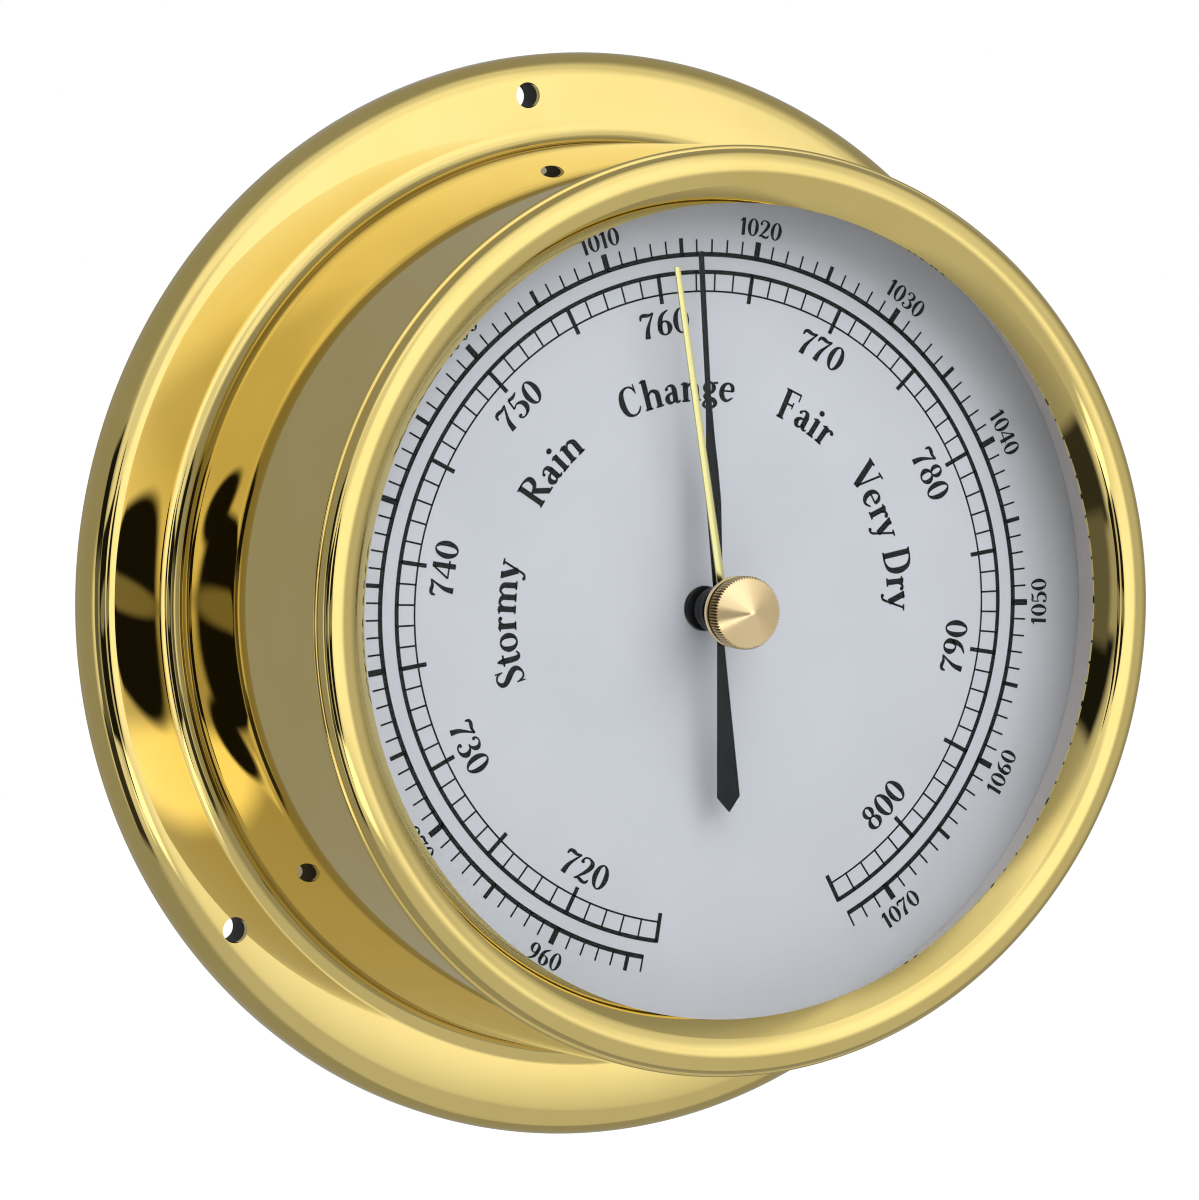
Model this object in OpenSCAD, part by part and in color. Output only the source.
// Bulkhead aneroid barometer in a polished brass case.
// The origin is the centre of the mounting plane. The dial faces -Y and the top is +Z.
// Inside the modules a piece is drawn lying on its back: x to the right, y up the dial,
// z out of the wall. The module from_wall() then stands it up.

/* [Case] */
// Diameter of the mounting flange
flange_d = 110; // [106:0.5:116]
// Height of the flange's flat face above the wall
flange_h = 3.8; // [3.4:0.1:4.4]
// Radius of the rolled rim of the flange
rim_r = 2.85; // [2.2:0.05:3.2]
// Diameter of the drum where it meets the flange
drum_d = 91.6; // [91:0.2:93]
// Diameter of the drum at its front edge
drum_front_d = 90; // [89.6:0.2:90.6]
// Radius of the fillet between drum and flange
foot_r = 1.8; // [1.2:0.1:2.4]
// Thickness of the sheet brass
sheet_t = 0.7; // [0.5:0.05:0.8]
// Height of the drum's front edge above the wall
drum_h = 36.2; // [36:0.1:36.4]
// Circle on which the mounting screws lie
screw_pcd = 102.2; // [101:0.1:103]
// Diameter of a mounting screw hole
screw_hole_d = 2.6; // [2.2:0.1:3]
// Number of mounting screw holes
screw_count = 3; // [3:1:6]

/* [Bezel] */
// Outer diameter of the bezel
bezel_d = 89.28; // [89:0.02:89.4]
// Diameter of the bezel's opening
opening_d = 78.9; // [78:0.1:81]
// Radius of the dome's outer shoulder
shoulder_r = 1.11; // [0.9:0.01:1.3]
// Radius of the broad dome
dome_r = 3.15; // [3:0.05:3.4]
// Angle at which the shoulder runs into the dome
blend_angle = 68.5; // [64:0.5:72]
// Angle at which the dome meets the inner slope
crease_angle = 122.4; // [118:0.2:126]
// Height of the bezel's widest circle above the wall
bezel_z = 36.37; // [36.3:0.01:36.5]
// Height of the edge of the opening above the wall
lip_z = 35.4; // [35.2:0.1:35.8]
// Outer diameter of the skirt that slides into the drum
skirt_d = 88.4; // [88:0.1:88.5]

/* [Dial and glass] */
// Height of the dial's face above the wall
dial_z = 27.7; // [27.6:0.1:27.8]
// Diameter of the dial plate
dial_d = 88; // [87:0.2:88.2]
// Thickness of the dial plate
dial_t = 0.8; // [0.6:0.1:1]
// Diameter of the hole in the dial's centre
dial_hole_d = 4.35; // [3.5:0.05:5]
// Inner diameter of the spacer ring
spacer_inner_d = 84.12; // [83.6:0.02:84.6]
// Outer diameter of the spacer ring
spacer_outer_d = 86.4; // [85.8:0.1:86.5]
// Height of the spacer ring
spacer_h = 4.7; // [4.6:0.1:4.8]
// Diameter of the glass
glass_d = 86; // [85:0.2:86.4]
// Thickness of the glass
glass_t = 1.9; // [1.8:0.1:2]
// Diameter of the hole in the glass
glass_hole_d = 3.16; // [3.12:0.02:3.2]

/* [Hands] */
// Distance from the centre to the pointer's tip
pointer_len = 34.6; // [30:0.1:36]
// Distance from the centre to the point of the pointer's tail
tail_len = 19.8; // [16:0.1:22]
// Width of the pointer's needle
needle_w = 0.53; // [0.4:0.01:0.8]
// Widest part of the pointer's front half
lance_w = 1.57; // [1.2:0.01:2]
// Widest part of the pointer's tail
tail_w = 2.43; // [1.8:0.01:3]
// Angle of the pointer from the top of the dial, clockwise
pointer_angle = 5.6; // [0:0.1:12]
// Diameter of the pointer's hub
hub_d = 4.4; // [4:0.1:4.8]
// Distance from the centre to the set hand's tip
set_hand_len = 33.5; // [30:0.1:35]
// Width of the set hand at its tip
set_tip_w = 0.58; // [0.4:0.01:0.8]
// Width of the set hand at its root
set_root_w = 0.88; // [0.7:0.01:1.2]

/* [Set knob] */
// Diameter of the knob over its ridges
knob_d = 7.1; // [6.5:0.1:8]
// Height of the knob at its rim
knob_h = 2.9; // [2.4:0.1:3.4]
// Height of the cone on the knob's front
knob_cone_h = 0.9; // [0.4:0.1:1.2]
// Number of ridges round the knob
knob_ridges = 72; // [60:1:80]
// Depth of the grooves between the ridges
knob_groove = 0.16; // [0.1:0.01:0.2]
// Diameter of the spindle through the glass
spindle_d = 3; // [2.9:0.02:3.04]

/* [Rear housing] */
// Thickness of the housing's floor
floor_t = 2.4; // [2:0.1:2.6]
// Outer diameter of the housing's wall
cup_d = 88.4; // [88:0.1:88.6]
// Thickness of the housing's wall
cup_t = 2; // [1.6:0.1:2.4]
// Diameter of the hole over the calibrating screw
access_d = 7; // [6:0.1:7.5]
// Diameter of a vent hole
vent_d = 1.6; // [1:0.1:2]

/* [Movement] */
// Diameter of the movement's base plate
plate_d = 68; // [66:0.5:72]
// Thickness of the base plate
plate_t = 1.2; // [1:0.1:1.2]
// Diameter of the vacuum capsule
capsule_d = 37; // [34:0.5:38]
// Height of the vacuum capsule
capsule_h = 5.4; // [5:0.1:5.6]
// Thickness of the capsule's sheet
capsule_t = 0.3; // [0.25:0.05:0.35]
// Number of corrugations in each half of the capsule
capsule_waves = 5; // [3:1:6]
// Height of a corrugation
wave_h = 0.7; // [0.4:0.1:0.9]
// Radius at which the chain lies on the drum of the arbor
drum_r = 0.73; // [0.72:0.01:0.76]
// Number of turns of the hairspring
hairspring_turns = 5; // [3:1:6]
// Number of links in the chain
chain_links = 16; // [10:2:20]

/* [Hidden] */
$fn = 96;

brass = [0.82, 0.68, 0.33];
steel = [0.62, 0.64, 0.66];
nickel = [0.75, 0.74, 0.68];
black = [0.10, 0.10, 0.11];

// Running clearance of a shaft in its hole, on the radius
run_gap = 0.03;
// Clearance of a fixed piece in its hole, on the radius
fit_gap = 0.05;
// Amount by which a cutting solid stands out of what it cuts
over = 1;

// Heights above the wall
rim_z = flange_h - rim_r;
flange_top = flange_h;
glass_z = dial_z + spacer_h;
glass_top = glass_z + glass_t;
seat_z = glass_top + 0.1;
cup_h = dial_z - dial_t;
washer_t = 0.3;
knob_z = glass_top + washer_t;
pointer_z = dial_z + 3.05;
pointer_t = 0.25;
set_collar_t = 0.5;
set_hand_t = 0.2;
set_hand_z = dial_z + 4.35;
set_collar_z = set_hand_z - set_collar_t;

// Radii of the case and the bezel
flange_r = flange_d / 2;
bezel_r = bezel_d / 2;
shoulder_c = [bezel_r - shoulder_r, bezel_z];
blend_pt = shoulder_c + shoulder_r * [cos(blend_angle), sin(blend_angle)];
dome_c = blend_pt - dome_r * [cos(blend_angle), sin(blend_angle)];
crease_pt = dome_c + dome_r * [cos(crease_angle), sin(crease_angle)];

// Places in the movement
plate_z = 5;
plate_top = plate_z + plate_t;
capsule_z = plate_top + 1.8;
capsule_top = capsule_z + capsule_h;
leaf_z = capsule_top + 0.6;
leaf_t = 0.8;
yoke_t = 0.6;
lever_t = 1.2;
lever_z = leaf_z + leaf_t + 1;
lever_axis = [-24, lever_z + lever_t / 2];
lever_tip_y = 23;
rocker_axis = [28, 11];
chain_z = 21.5;
clamp_y = -27.5;
cal_y = -26;
pillar_x = 23;
rear_bridge_z = 18;
bridge_t = 1.2;
front_bridge_z = 23.6;

// Screws and studs of the movement
base_screw_r = 31;
base_screw_d = 2;
clamp_screw_d = 1.6;
clamp_x = 6;
pillar_screw_d = 2;
cal_screw_d = 3;
cal_head_h = 1.1;
stud_d = 3;
nut_d = 6;
foot_stud_z = 3;

// Capsule: flat centre, corrugations, then a conical side up to the rim
flat_r = 4.5;
wave_r = 15;
side_r = 16.5;
side_h = capsule_h / 2 - capsule_t;
wave_steps = 8;

// Linkage
lever_pin_d = 1;
link_d = 1;
link_pin_d = 0.8;
link_play = 0.4;
link_at = [0, lever_tip_y];
link_pin_at = [lever_tip_y, rocker_axis[1]];
short_arm_x = [1, 2];
tall_arm_x = [0.35, 1.15];
tall_arm_end_r = 0.8;
lug_x = [9.3, 10.7];
pivot_d = 0.9;

// Arbor and hub of the pointer
rear_pivot_d = 1;
front_pivot_d = 1.4;
rivet_d = 1.8;
arbor_tip_d = 1.2;
hub_z = [dial_z + 1.6, dial_z + 3.6];
end_play = 0.1;
drum_z = [chain_z - 0.5, chain_z + 0.5];
cheek_t = 0.3;
cheek_d = 3;
rear_neck_d = 2.2;
front_neck_d = 1.9;
pillar_d = 5;
pillar_foot_d = 3;

// Set hand
set_ring_d = 4.2;
collar_d = 4.8;
peg_d = 1.8;
peg_h = 1.6;

// Groove under the bezel's lip, in which the seal lies
seal_d = [83.2, 85.8];
seal_t = 0.6;

module from_wall() rotate([90, 0, 0]) children();

// Lifts what it holds to a height above the wall
module at_z(z) translate([0, 0, z]) children();

// A round rod or disc standing at a point of the plane
module rod(d, z0, z1, at = [0, 0]) translate([at[0], at[1], z0]) cylinder(d = d, h = z1 - z0);

// A round rod along x, between two values of x, at a point [y, z]
module cross_rod(d, x0, x1, at) translate([x0, at[0], at[1]])
  rotate([0, 90, 0]) cylinder(d = d, h = x1 - x0);

// A flat ring
module ring(d_out, d_in, z0, z1) difference() {
  rod(d_out, z0, z1);
  rod(d_in, z0 - over, z1 + over);
}

// Places copies on a circle, the first at the top of the dial
module on_circle(radius, count, start = 90)
  for (i = [0 : count - 1]) rotate(start + i * 360 / count) translate([radius, 0, 0]) children();

// Quarter of a sheet bend in the profile plane, from an angle to the next right angle
module quarter_bend(centre, r_in, r_out, from_angle) translate(centre) rotate(from_angle)
  intersection() {
    difference() { circle(r_out); circle(r_in); }
    square(r_out + over);
  }

// Slice of a circle in the profile plane, between two angles less than 90 degrees apart
module slice(centre, r, a0, a1) translate(centre)
  intersection() {
    circle(r);
    polygon([[0, 0], 2 * r * [cos(a0), sin(a0)], 2 * r * [cos((a0 + a1) / 2), sin((a0 + a1) / 2)],
      2 * r * [cos(a1), sin(a1)]]);
  }

// Profile of the spun case: lip, rolled rim, flange, fillet, tapered drum
module case_profile() {
  foot_x = drum_d / 2 + foot_r;
  foot_z = flange_top + foot_r;
  edge_r = sheet_t / 2;
  front_x = drum_front_d / 2;
  translate([flange_r - sheet_t, 0]) square([sheet_t, rim_z]);
  quarter_bend([flange_r - rim_r, rim_z], rim_r - sheet_t, rim_r, 0);
  translate([foot_x, flange_top - sheet_t]) square([flange_r - rim_r - foot_x, sheet_t]);
  quarter_bend([foot_x, foot_z], foot_r, foot_r + sheet_t, 180);
  polygon([[drum_d / 2, foot_z], [front_x, drum_h - edge_r], [front_x - sheet_t, drum_h - edge_r],
    [drum_d / 2 - sheet_t, foot_z]]);
  translate([front_x - edge_r, drum_h - edge_r]) circle(edge_r);
}

module case_shell() color(brass) from_wall() difference() {
  rotate_extrude() case_profile();
  on_circle(screw_pcd / 2, screw_count) rod(screw_hole_d, 0, flange_top + over);
}

// Straight-sided part of the bezel's profile: lip, inner slope, edge, skirt
module bezel_body() {
  skirt_t = 0.9;
  skirt_z = 30;
  opening_r = opening_d / 2;
  bore_h = 0.3;
  undercut = 1.5;
  polygon([[opening_r + undercut, seat_z], [opening_r, lip_z - bore_h], [opening_r, lip_z],
    crease_pt, blend_pt, [bezel_r, bezel_z], [bezel_r, drum_h], [skirt_d / 2, drum_h],
    [skirt_d / 2, skirt_z], [skirt_d / 2 - skirt_t, skirt_z], [skirt_d / 2 - skirt_t, seat_z]]);
}

// Domed ring: the broad dome runs into a tight shoulder
module bezel() color(brass) from_wall() difference() {
  union() {
    rotate_extrude() slice(shoulder_c, shoulder_r, 0, blend_angle);
    rotate_extrude() slice(dome_c, dome_r, blend_angle, crease_angle);
    rotate_extrude() bezel_body();
  }
  ring(seal_d[1], seal_d[0], glass_top, glass_top + seal_t);
}

module glass_seal() color(black) from_wall()
  ring(seal_d[1] - 2 * fit_gap, seal_d[0] + 2 * fit_gap, glass_top, glass_top + seal_t);

module glass() color([0.85, 0.92, 0.95, 0.35]) from_wall()
  ring(glass_d, glass_hole_d, glass_z, glass_top);

module spacer_ring() color("whitesmoke") from_wall()
  ring(spacer_outer_d, spacer_inner_d, dial_z, glass_z);

module dial_plate() color([0.80, 0.83, 0.86]) from_wall()
  ring(dial_d, dial_hole_d, cup_h, dial_z);

// Half outline of the pointer: distance along the hand and half width
pointer_front = [[0, 0.5], [hub_d / 2, 0.5], [10.6, lance_w / 2], [13.8, 0.65], [16.6, 0.45],
  [20.9, needle_w / 2], [pointer_len, needle_w / 2]];
pointer_tail = [[0, 0.3], [hub_d / 2, 0.3], [tail_len - 1.5, tail_w / 2], [tail_len, 0.02]];

// Mirrors a half outline to a closed blade along y
function blade(half) = concat([for (p = half) [p[1], p[0]]],
  [for (i = [len(half) - 1 : -1 : 0]) [-half[i][1], half[i][0]]]);

module pointer() color(black) from_wall() rotate(-pointer_angle) at_z(pointer_z) difference() {
  linear_extrude(pointer_t) {
    polygon(blade(pointer_front));
    rotate(180) polygon(blade(pointer_tail));
    circle(d = hub_d - 0.4);
  }
  rod(rivet_d, -over, over);
}

// Spool-shaped hub, riveted round the pointer
module pointer_hub() color(black) from_wall() difference() {
  union() {
    rod(hub_d - 0.5, hub_z[0], hub_z[0] + 0.6);
    rod(hub_d, hub_z[0] + 0.6, pointer_z);
    rod(rivet_d, pointer_z, pointer_z + pointer_t);
    rod(hub_d, pointer_z + pointer_t, hub_z[1]);
  }
  rod(arbor_tip_d + 2 * fit_gap, hub_z[0] - over, hub_z[1] - 0.3);
}

module set_hand() color(brass) from_wall() at_z(set_hand_z) difference() {
  linear_extrude(set_hand_t) {
    circle(d = set_ring_d);
    polygon([[-set_root_w / 2, 0], [set_root_w / 2, 0], [set_tip_w / 2, set_hand_len],
      [-set_tip_w / 2, set_hand_len]]);
  }
  rod(spindle_d, -over, over);
}

module set_collar() color(black) from_wall() ring(collar_d, spindle_d, set_collar_z, set_hand_z);

module set_spindle() color(brass) from_wall() {
  rod(spindle_d, set_collar_z, knob_z);
  rod(peg_d, knob_z, knob_z + peg_h);
}

// Outline of the knob's ridges: a zigzag round the rim
function ridge_outline(n, r_out, r_in) = [for (i = [0 : 2 * n - 1])
  (i % 2 == 0 ? r_out : r_in) * [cos(i * 180 / n), sin(i * 180 / n)]];

module set_knob() color([0.90, 0.74, 0.48]) from_wall() at_z(knob_z) {
  foot_h = 0.5;
  neck_h = 0.9;
  neck_d = knob_d - 2 * knob_groove - 0.4;
  knob_r = knob_d / 2;
  difference() {
    union() {
      rod(knob_d - 0.1, 0, foot_h);
      rod(neck_d, 0, neck_h);
      intersection() {
        at_z(neck_h) linear_extrude(knob_h + knob_cone_h)
          polygon(ridge_outline(knob_ridges, knob_r, knob_r - knob_groove));
        rotate_extrude() polygon([[0, foot_h], [knob_r - 0.15, neck_h],
          [knob_r + 0.05, neck_h + 0.2], [knob_r + 0.05, knob_h], [0, knob_h + knob_cone_h]]);
      }
    }
    rod(peg_d + 0.02, -over, peg_h + 0.1);
  }
}

module friction_washer() color(black) from_wall() {
  washer_d = 6.6;
  ring(washer_d, spindle_d + 2 * fit_gap, glass_top, knob_z);
}

// Solid of the rear housing's flange, which fills the hollow behind the brass flange
module housing_flange() {
  gap = fit_gap;
  edge = flange_r - rim_r;
  rotate_extrude() {
    square([flange_r - sheet_t - gap, rim_z]);
    square([edge, flange_top - sheet_t - gap]);
    slice([edge, rim_z], rim_r - sheet_t - gap, 0, 89.9);
  }
}

module rear_housing() color(black) from_wall() {
  boss_d = 7;
  pilot_d = base_screw_d + 0.06;
  vent_r = 20;
  difference() {
    union() {
      housing_flange();
      rod(cup_d, 0, cup_h);
    }
    rod(cup_d - 2 * cup_t, floor_t, cup_h + over);
    on_circle(screw_pcd / 2, screw_count) rod(screw_hole_d, -over, flange_top + over);
    rod(access_d, -over, floor_t + over, [0, cal_y]);
    on_circle(vent_r, 2, 0) rod(vent_d, -over, floor_t + over);
  }
  on_circle(base_screw_r, 3) ring(boss_d, pilot_d, floor_t, plate_z);
}

module base_plate() color(brass) from_wall() difference() {
  rod(plate_d, plate_z, plate_top);
  on_circle(base_screw_r, 3) rod(base_screw_d + 0.2, 0, plate_top + over);
  rod(stud_d + 2 * fit_gap, 0, plate_top + over);
  rod(cal_screw_d + 2 * run_gap, 0, plate_top + over, [0, cal_y]);
  for (s = [-1, 1]) rod(pillar_foot_d + 2 * fit_gap, 0, plate_top + over, [s * pillar_x, 0]);
}

// A cheese-head screw: head with a slot, and shank below
module slotted_screw(head_d, head_h, shank_d, shank_len) {
  slot_w = 0.5;
  slot_depth = 0.5;
  difference() {
    rod(head_d, 0, head_h);
    translate([-head_d, -slot_w / 2, head_h - slot_depth]) cube([2 * head_d, slot_w, over]);
  }
  rod(shank_d, -shank_len, 0);
}

module base_screws() color(steel) from_wall() on_circle(base_screw_r, 3)
  at_z(plate_top) slotted_screw(2 * base_screw_d, 1.3, base_screw_d, plate_t + 2.4);

// Line of the corrugations, from the flat centre to the conical side
function wave_line(lift) = [for (i = [0 : capsule_waves * wave_steps])
  [flat_r + (wave_r - flat_r) * i / (capsule_waves * wave_steps),
    lift + wave_h / 2 * (1 - cos(360 * i / wave_steps))]];

// Line of half the capsule, from its axis to its rim
function capsule_line(lift) = concat([[0, lift]], wave_line(lift),
  [[side_r, side_h + lift], [capsule_d / 2, side_h + lift]]);

module capsule_half() rotate_extrude() polygon(concat(capsule_line(0),
  [for (i = [len(capsule_line(0)) - 1 : -1 : 0]) capsule_line(capsule_t)[i]]));

module capsule_rear() color(nickel) from_wall() at_z(capsule_z) capsule_half();

module capsule_front() color(nickel) from_wall() at_z(capsule_top) mirror([0, 0, 1]) capsule_half();

// Collar above the plate, shank through it and hexagonal nut below it
module capsule_base_stud() color(steel) from_wall() {
  nut_z = foot_stud_z + 0.4;
  rod(nut_d, plate_top, capsule_z);
  rod(stud_d, foot_stud_z, plate_top);
  difference() {
    at_z(nut_z) cylinder(d = nut_d, h = plate_z - nut_z, $fn = 6);
    rod(stud_d, foot_stud_z, plate_z + over);
  }
}

module capsule_stud() color(steel) from_wall() {
  rod(nut_d, capsule_top, leaf_z);
  rod(stud_d, leaf_z, lever_z - 0.1);
}

// Holes for the two screws that clamp spring and yoke
module clamp_holes(z0, z1)
  for (s = [-1, 1]) rod(clamp_screw_d + 2 * fit_gap, z0, z1, [s * clamp_x, clamp_y]);

// Cast bracket with a foot, an upright and an arm under the leaf spring
module spring_bridge() color(brass) from_wall() difference() {
  half_w = 9;
  back_y = -32;
  upright_y = -30;
  foot_y = -21;
  arm_y = -22.5;
  arm_t = 1.5;
  foot_top = plate_top + arm_t;
  arm_z = leaf_z - arm_t;
  side_plate([-half_w, half_w]) polygon([[back_y, plate_top], [foot_y, plate_top],
    [foot_y, foot_top], [upright_y, foot_top], [upright_y, arm_z], [arm_y, arm_z],
    [arm_y, leaf_z], [back_y, leaf_z]]);
  rod(cal_screw_d + 0.6, 0, foot_top + over / 2, [0, cal_y]);
  clamp_holes(leaf_z - 2, leaf_z + over);
}

// Leaf that is broad where it is clamped and round where it lifts the capsule
module main_spring() color(steel) from_wall() difference() {
  root_half = 8;
  root_y = [-31, -22];
  eye_r = 3.5;
  at_z(leaf_z) linear_extrude(leaf_t) {
    polygon([[-root_half, root_y[0]], [root_half, root_y[0]], [root_half, root_y[1]],
      [eye_r, 0], [-eye_r, 0], [-root_half, root_y[1]]]);
    circle(r = eye_r);
  }
  rod(stud_d + 0.2, 0, leaf_z + over);
  clamp_holes(leaf_z - over, leaf_z + over);
}

module spring_screws() color(steel) from_wall() for (s = [-1, 1])
  translate([s * clamp_x, clamp_y, leaf_z + leaf_t + yoke_t])
    slotted_screw(3, 0.9, clamp_screw_d, 2.6);

// Turned from the back through the hole in the housing
module calibrating_screw() color(steel) from_wall() {
  head_z = plate_z - cal_head_h;
  tip_z = leaf_z - 1.55;
  translate([0, cal_y, head_z]) mirror([0, 0, 1]) slotted_screw(5, 1.2, cal_screw_d, tip_z - head_z);
}

// Plate on the spring's root, with two ears that hold the lever's pin
module lever_yoke() color(brass) from_wall() {
  ear_x = [3.6, 4.6];
  ear_y = [-25.4, -22.8];
  base_x = 7.6;
  base_y = -30;
  yoke_z = leaf_z + leaf_t;
  difference() {
    union() {
      translate([-base_x, base_y, yoke_z]) cube([2 * base_x, ear_y[1] - base_y, yoke_t]);
      for (s = [0, 1]) mirror([s, 0, 0]) translate([ear_x[0], ear_y[0], yoke_z])
        cube([ear_x[1] - ear_x[0], ear_y[1] - ear_y[0], lever_axis[1] - yoke_z + 1]);
    }
    cross_rod(lever_pin_d, -ear_x[1] - over, ear_x[1] + over, lever_axis);
    clamp_holes(leaf_z, yoke_z + yoke_t + over);
  }
}

module lever_pin() color(steel) from_wall() {
  half_len = 4.8;
  cross_rod(lever_pin_d, -half_len, half_len, lever_axis);
}

// Long arm with a barrel round its pin
module main_lever() color(brass) from_wall() difference() {
  barrel_d = 1.8;
  barrel_x = 3.4;
  root_half = 2.6;
  tip_r = 1.2;
  union() {
    at_z(lever_z) linear_extrude(lever_t) {
      polygon([[-root_half, lever_axis[0]], [root_half, lever_axis[0]],
        [tip_r, lever_tip_y], [-tip_r, lever_tip_y]]);
      translate([0, lever_tip_y]) circle(tip_r);
    }
    cross_rod(barrel_d, -barrel_x, barrel_x, lever_axis);
  }
  cross_rod(lever_pin_d + 2 * run_gap, -barrel_x - over, barrel_x + over, lever_axis);
  rod(link_d + 2 * fit_gap, lever_z - over, lever_z + lever_t + over, link_at);
}

// Upright rod with a head on the lever and a pin at its foot
module link_rod() color(steel) from_wall() {
  head_d = 1.6;
  head_h = 0.3;
  pin_len = 2.4;
  lever_top = lever_z + lever_t;
  rod(link_d, rocker_axis[1] - 0.6, lever_top, link_at);
  rod(head_d, lever_top, lever_top + head_h, link_at);
  cross_rod(link_pin_d, 0, pin_len, link_pin_at);
}

// Flat plate in the y-z plane between two values of x
module side_plate(x) translate([x[0], 0, 0])
  rotate([90, 0, 90]) linear_extrude(x[1] - x[0]) children();

// Tapered arm between two round ends
module arm(p0, r0, p1, r1) hull() {
  translate(p0) circle(r0, $fn = 32);
  translate(p1) circle(r1, $fn = 32);
}

module rocker_shaft() color(steel) from_wall() difference() {
  shaft_d = 1.8;
  shoulder_x = lug_x[0] - 0.1;
  short_arm_r = [1.6, 1.3];
  tall_arm_r = 1.4;
  union() {
    cross_rod(shaft_d, -shoulder_x, shoulder_x, rocker_axis);
    cross_rod(pivot_d, -lug_x[1], lug_x[1], rocker_axis);
    side_plate(short_arm_x) arm(rocker_axis, short_arm_r[0], link_pin_at, short_arm_r[1]);
    side_plate(tall_arm_x)
      arm(rocker_axis, tall_arm_r, [rocker_axis[0], chain_z], tall_arm_end_r);
  }
  cross_rod(link_pin_d + 2 * link_play, short_arm_x[0] - over / 2, short_arm_x[1] + over / 2,
    link_pin_at);
}

// Two upright lugs with feet that point outwards
module pivot_lugs() color(brass) from_wall() {
  half_y = 2;
  foot_len = 2;
  foot_h = 1;
  lug_t = lug_x[1] - lug_x[0];
  for (s = [0, 1]) mirror([s, 0, 0]) difference() {
    translate([lug_x[0], rocker_axis[0] - half_y, plate_top]) {
      cube([lug_t, 2 * half_y, rocker_axis[1] + half_y - plate_top]);
      cube([lug_t + foot_len, 2 * half_y, foot_h]);
    }
    cross_rod(pivot_d + 2 * run_gap, 0, lug_x[1] + over, rocker_axis);
  }
}

// Chain of flat links, thick and thin by turns, from the tall arm to its turn on the drum
module chain() color(steel) from_wall() {
  link_w = 0.24;
  link_h = [0.5, 0.26];
  lap = 0.1;
  pitch = (rocker_axis[0] - tall_arm_end_r - run_gap) / chain_links;
  for (i = [0 : chain_links - 1])
    translate([drum_r - link_w / 2, i * pitch, chain_z - link_h[i % 2] / 2])
      cube([link_w, pitch + (i < chain_links - 1 ? lap : 0), link_h[i % 2]]);
  ring(2 * drum_r + link_w, 2 * drum_r - link_w, chain_z - link_h[1] / 2, chain_z + link_h[1] / 2);
}

// Steps of the arbor, from its rear pivot to the pointer's seat: diameter and two heights
arbor_steps = [
  [rear_pivot_d, rear_bridge_z, rear_bridge_z + bridge_t + end_play],
  [rear_neck_d, rear_bridge_z + bridge_t + end_play, drum_z[0] - cheek_t],
  [cheek_d, drum_z[0] - cheek_t, drum_z[0]],
  [2 * drum_r - 0.3, drum_z[0], drum_z[1]],
  [cheek_d, drum_z[1], drum_z[1] + cheek_t],
  [front_neck_d, drum_z[1] + cheek_t, front_bridge_z - end_play],
  [front_pivot_d, front_bridge_z - end_play, front_bridge_z + bridge_t],
  [arbor_tip_d, front_bridge_z + bridge_t, hub_z[1] - 0.35]
];

module pointer_arbor() color(steel) from_wall() for (s = arbor_steps) rod(s[0], s[1], s[2]);

// Points of a flat spiral of n steps
function spiral(r0, r1, n, step) = [for (i = [0 : n])
  (r0 + (r1 - r0) * i / n) * [cos(i * step), sin(i * step)]];

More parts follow.
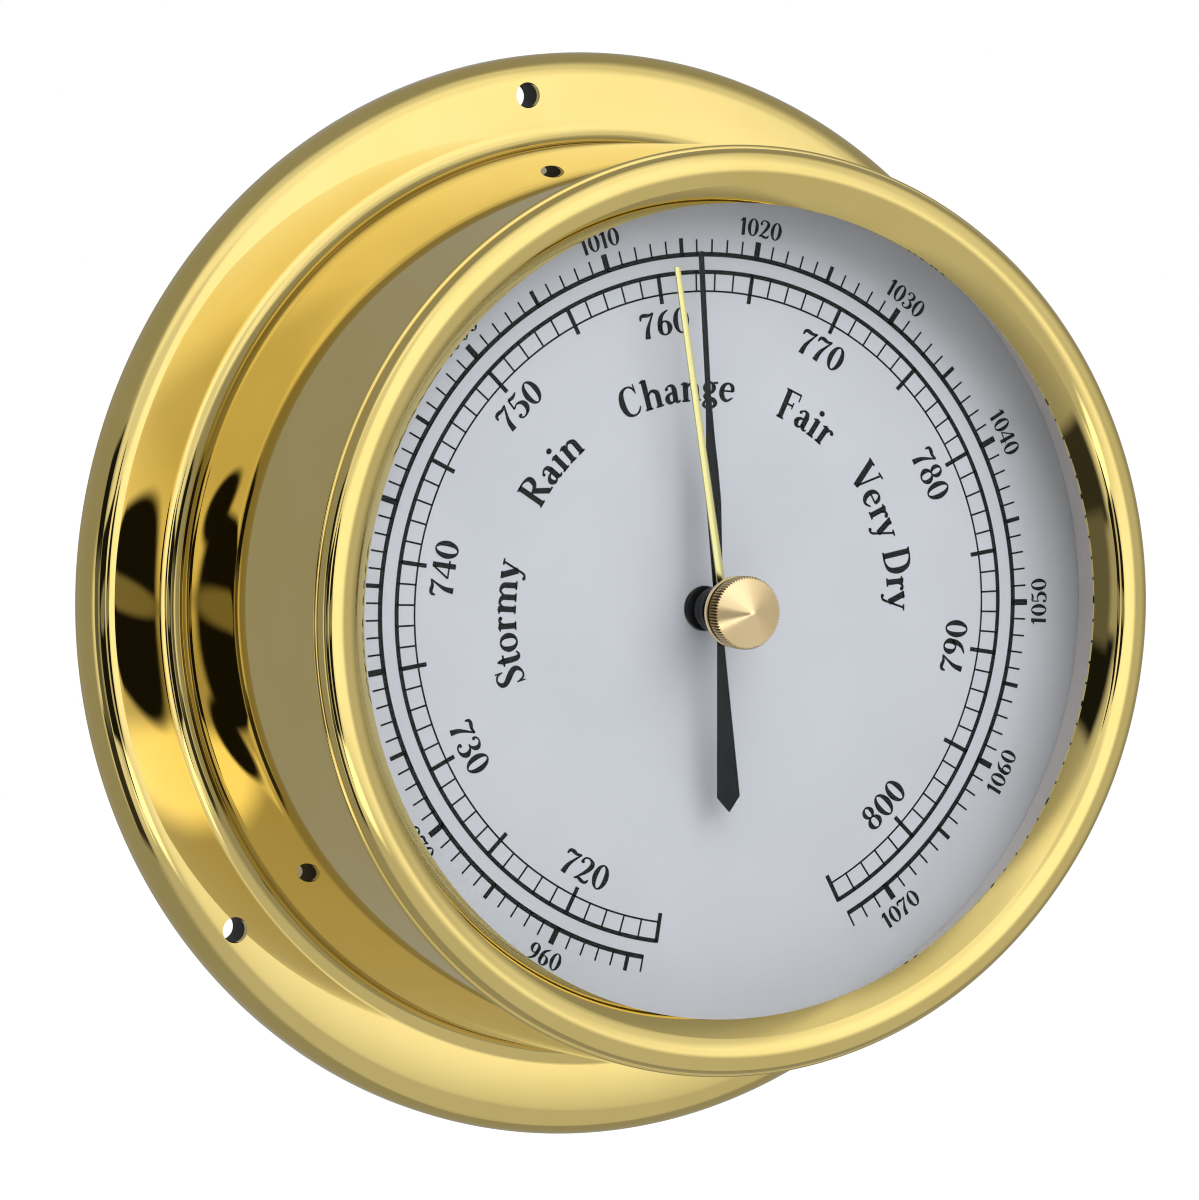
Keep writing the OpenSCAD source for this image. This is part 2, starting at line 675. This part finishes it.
// Spiral strip from the arbor to a post on the rear bridge
module hairspring() color(nickel) from_wall() {
  step = 15;
  n = hairspring_turns * 360 / step;
  r0 = 1.15;
  r1 = 6.6;
  strip_t = 0.12;
  strip_z = [19.7, 20.3];
  post_d = 1.2;
  inner = spiral(r0, r1, n, step);
  outer = spiral(r0 + strip_t, r1 + strip_t, n, step);
  at_z(strip_z[0]) linear_extrude(strip_z[1] - strip_z[0])
    polygon(concat(outer, [for (i = [n : -1 : 0]) inner[i]]));
  rod(post_d, rear_bridge_z + bridge_t, strip_z[1], [r1 + post_d / 3, 0]);
}

// Strip with round ends over both pillars, with bearing and screw holes
module bridge_plate(z, pivot) difference() {
  half_w = 3.5;
  middle_r = 8;
  top = z + bridge_t + over;
  at_z(z) linear_extrude(bridge_t) {
    translate([-pillar_x, -half_w]) square([2 * pillar_x, 2 * half_w]);
    for (s = [-1, 1]) translate([s * pillar_x, 0]) circle(half_w);
    circle(middle_r);
  }
  rod(pivot + 2 * run_gap, z - over, top);
  for (s = [-1, 1]) rod(pillar_screw_d + 0.2, z - over, top, [s * pillar_x, 0]);
}

module rear_bridge() color(brass) from_wall() bridge_plate(rear_bridge_z, rear_pivot_d);

module front_bridge() color(brass) from_wall() bridge_plate(front_bridge_z, front_pivot_d);

module bridge_pillars() color(brass) from_wall() for (s = [-1, 1]) translate([s * pillar_x, 0, 0])
  difference() {
    union() {
      rod(pillar_foot_d, plate_z, plate_top);
      rod(pillar_d, plate_top, rear_bridge_z);
    }
    rod(pillar_screw_d + 2 * fit_gap, rear_bridge_z - 4, rear_bridge_z + over);
  }

module bridge_spacers() color(brass) from_wall() for (s = [-1, 1]) translate([s * pillar_x, 0, 0])
  ring(pillar_d, pillar_screw_d + 0.2, rear_bridge_z + bridge_t, front_bridge_z);

module bridge_screws() color(steel) from_wall() for (s = [-1, 1])
  translate([s * pillar_x, 0, front_bridge_z + bridge_t])
    slotted_screw(2 * pillar_screw_d, 1.3, pillar_screw_d, 10.6);

case_shell();
bezel();
glass_seal();
glass();
spacer_ring();
dial_plate();
pointer();
pointer_hub();
set_hand();
set_collar();
set_spindle();
set_knob();
friction_washer();
rear_housing();
base_plate();
base_screws();
capsule_rear();
capsule_front();
capsule_base_stud();
capsule_stud();
spring_bridge();
main_spring();
spring_screws();
calibrating_screw();
lever_yoke();
lever_pin();
main_lever();
link_rod();
rocker_shaft();
pivot_lugs();
chain();
pointer_arbor();
hairspring();
rear_bridge();
front_bridge();
bridge_pillars();
bridge_spacers();
bridge_screws();
